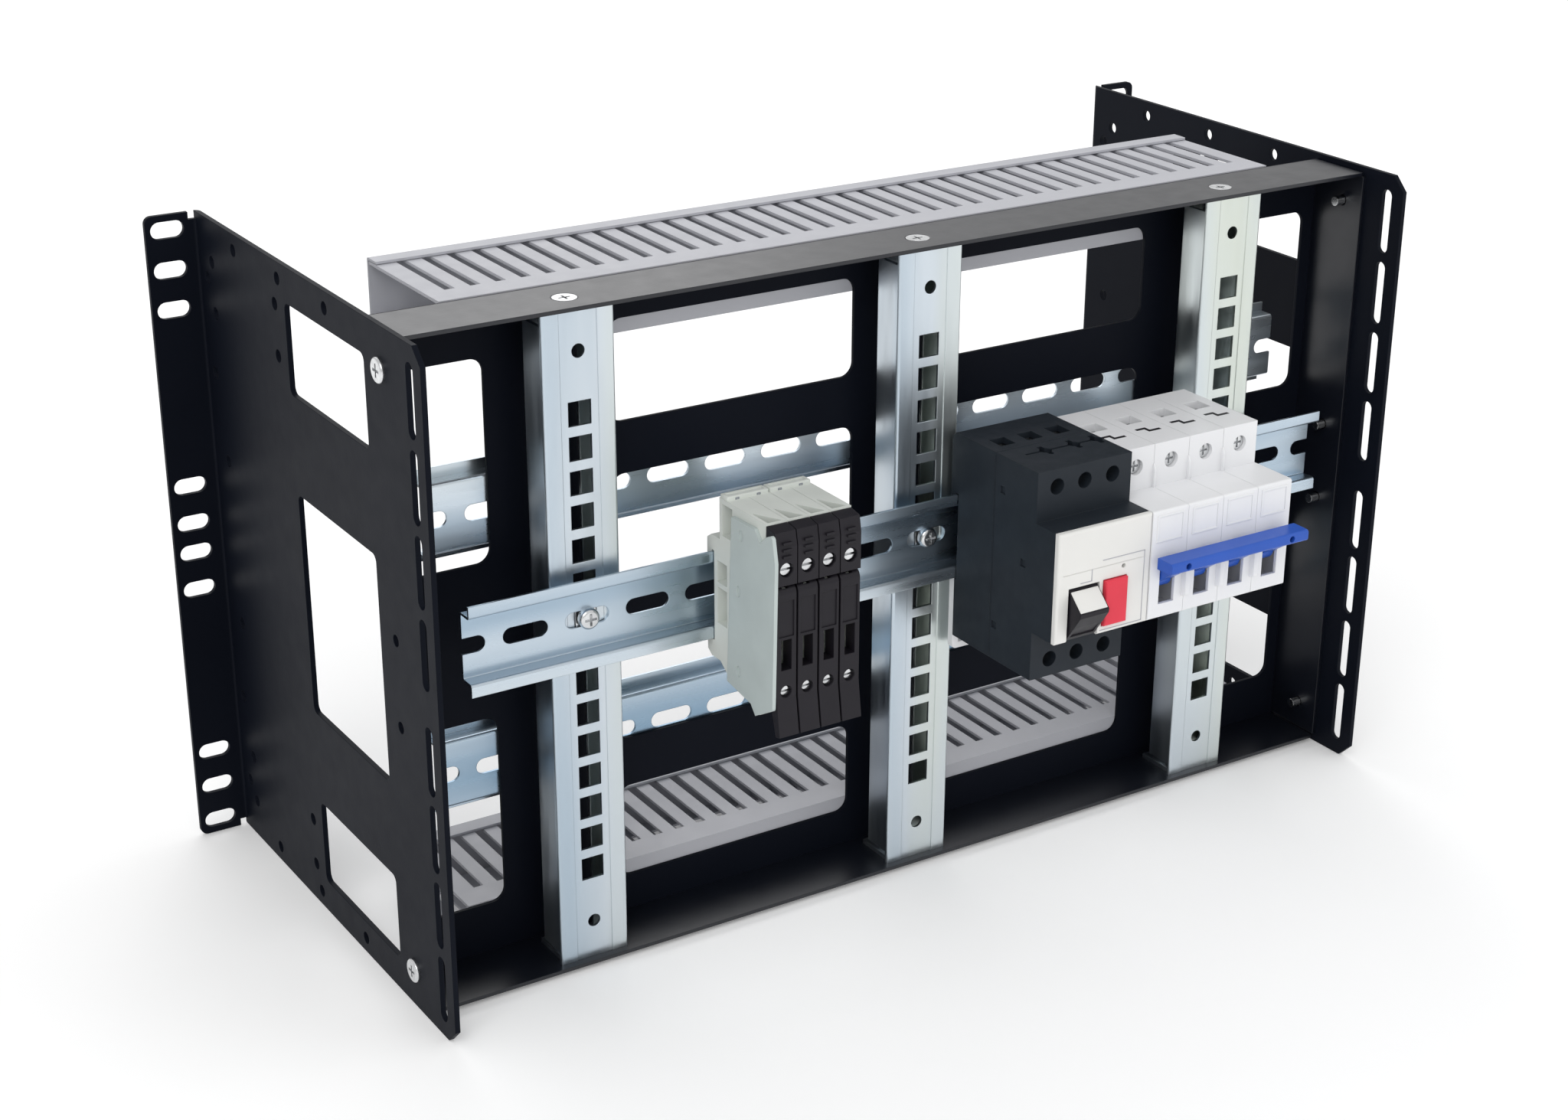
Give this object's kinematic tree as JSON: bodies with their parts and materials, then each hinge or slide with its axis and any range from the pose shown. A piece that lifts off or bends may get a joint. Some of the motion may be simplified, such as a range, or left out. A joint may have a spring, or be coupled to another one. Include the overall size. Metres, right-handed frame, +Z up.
{
  "type": "rack din-rail switchgear chassis",
  "caption": "Open rack-mount steel chassis with punched posts, DIN rails, slotted wiring ducts, fuse terminals, a motor protection breaker and a miniature breaker.",
  "frame": {"origin": "centre of the bounding box's footprint at the underside of the side plates", "axes": "+Z up, +X to the right of someone facing the switchgear, the switchgear faces -Y and the rack ears are at the rear, +Y"},
  "size_m": [0.4826, 0.264, 0.2659],
  "materials": {
    "black_paint": "satin powder coat",
    "zinc_plate": "bright zinc plating",
    "rail_steel": "zinc plated strip",
    "screw_steel": "zinc plated",
    "duct_pvc": "rigid PVC",
    "rivet_plastic": "nylon",
    "beige_plastic": "polyamide",
    "end_plate_plastic": "polyamide",
    "black_plastic": "polyamide",
    "charcoal_plastic": "polycarbonate",
    "off_white_plastic": "polycarbonate",
    "white_plastic": "polycarbonate",
    "blue_plastic": "polyamide",
    "red_plastic": "polycarbonate",
    "brass": "machined",
    "copper_wire": "enamelled wire",
    "fuse_glass": "ceramic tube"
  },
  "bodies": {
    "chassis": {"side_plate_left": "black_paint", "side_plate_right": "black_paint", "mounting_tray": "black_paint", "tray_flanges": "black_paint", "post_left": "zinc_plate", "post_middle": "zinc_plate", "post_right": "zinc_plate", "front_rail": "rail_steel", "rear_rail_upper": "rail_steel", "rear_rail_lower": "rail_steel", "tray_side_screws": "screw_steel", "post_screws": "screw_steel", "front_rail_screws": "screw_steel", "rail_cage_nuts": "screw_steel", "rear_rail_screws": "screw_steel", "rear_rail_nuts": "screw_steel", "fuse_terminal_screws": "screw_steel", "motor_breaker_screws": "screw_steel", "breaker_screws": "screw_steel", "rocker_pin": "screw_steel", "breaker_axle": "screw_steel", "fuse_lever_pins": "screw_steel", "stop_button_spring": "screw_steel", "fuse_terminal_clamps": "screw_steel", "motor_breaker_clamps": "screw_steel", "breaker_clamps": "screw_steel", "duct_top": "duct_pvc", "duct_bottom": "duct_pvc", "duct_rivets": "rivet_plastic", "fuse_housing_1": "beige_plastic", "breaker_pole_1": "white_plastic", "fuse_housing_2": "beige_plastic", "breaker_pole_2": "white_plastic", "fuse_housing_3": "beige_plastic", "breaker_pole_3": "white_plastic", "fuse_housing_4": "beige_plastic", "breaker_pole_4": "white_plastic", "fuse_end_plate": "end_plate_plastic", "fuse_heads": "black_plastic", "fuse_cartridges": "fuse_glass", "fuse_clips": "brass", "motor_breaker_base": "charcoal_plastic", "motor_breaker_cover": "off_white_plastic", "motor_breaker_coils": "copper_wire", "breaker_coils": "copper_wire"},
    "handle": {"breaker_toggles": "blue_plastic", "breaker_tie_bar": "blue_plastic"},
    "rocker": {"rocker_lever": "black_plastic"},
    "stop_button": {"stop_button": "red_plastic"},
    "rail_latch": {"motor_breaker_latch": "white_plastic"},
    "top_cover": {"duct_top_cover": "duct_pvc"},
    "bottom_cover": {"duct_bottom_cover": "duct_pvc"},
    "lever_1": {"fuse_lever_1": "black_plastic"},
    "clip_1": {"breaker_clip_1": "white_plastic"},
    "lever_2": {"fuse_lever_2": "black_plastic"},
    "clip_2": {"breaker_clip_2": "white_plastic"},
    "lever_3": {"fuse_lever_3": "black_plastic"},
    "clip_3": {"breaker_clip_3": "white_plastic"},
    "lever_4": {"fuse_lever_4": "black_plastic"},
    "clip_4": {"breaker_clip_4": "white_plastic"}
  },
  "joints": [
    {"name": "handle_switch", "type": "hinge", "parent": "chassis", "child": "handle", "pos_m": [0.09, -0.11395, 0.13895], "axis": [1, 0, 0], "range_deg": [0, 75]},
    {"name": "rocker_switch", "type": "hinge", "parent": "chassis", "child": "rocker", "pos_m": [0.023, -0.11045, 0.13395], "axis": [1, 0, 0], "range_deg": [0, 30]},
    {"name": "stop_press", "type": "slide", "parent": "chassis", "child": "stop_button", "axis": [0, 1, 0], "range_m": [0, 0.0025], "stiffness_N_per_m": 300, "springref_m": -0.0015, "deforming": ["stop_button_spring"]},
    {"name": "latch_release", "type": "slide", "parent": "chassis", "child": "rail_latch", "axis": [0, 0, -1], "range_m": [0, 0.004]},
    {"name": "top_cover_pull", "type": "slide", "parent": "chassis", "child": "top_cover", "axis": [0, 1, 0], "range_m": [0, 0.03]},
    {"name": "bottom_cover_pull", "type": "slide", "parent": "chassis", "child": "bottom_cover", "axis": [0, 1, 0], "range_m": [0, 0.03]},
    {"name": "lever_1_open", "type": "hinge", "parent": "chassis", "child": "lever_1", "pos_m": [-0.096, -0.09575, 0.16075], "axis": [-1, 0, 0], "range_deg": [0, 90]},
    {"name": "clip_1_release", "type": "slide", "parent": "chassis", "child": "clip_1", "axis": [0, 0, -1], "range_m": [0, 0.004]},
    {"name": "lever_2_open", "type": "hinge", "parent": "chassis", "child": "lever_2", "pos_m": [-0.0869, -0.09575, 0.16075], "axis": [-1, 0, 0], "range_deg": [0, 90]},
    {"name": "clip_2_release", "type": "slide", "parent": "chassis", "child": "clip_2", "axis": [0, 0, -1], "range_m": [0, 0.004]},
    {"name": "lever_3_open", "type": "hinge", "parent": "chassis", "child": "lever_3", "pos_m": [-0.0778, -0.09575, 0.16075], "axis": [-1, 0, 0], "range_deg": [0, 90]},
    {"name": "clip_3_release", "type": "slide", "parent": "chassis", "child": "clip_3", "axis": [0, 0, -1], "range_m": [0, 0.004]},
    {"name": "lever_4_open", "type": "hinge", "parent": "chassis", "child": "lever_4", "pos_m": [-0.0687, -0.09575, 0.16075], "axis": [-1, 0, 0], "range_deg": [0, 90]},
    {"name": "clip_4_release", "type": "slide", "parent": "chassis", "child": "clip_4", "axis": [0, 0, -1], "range_m": [0, 0.004]}
  ]
}
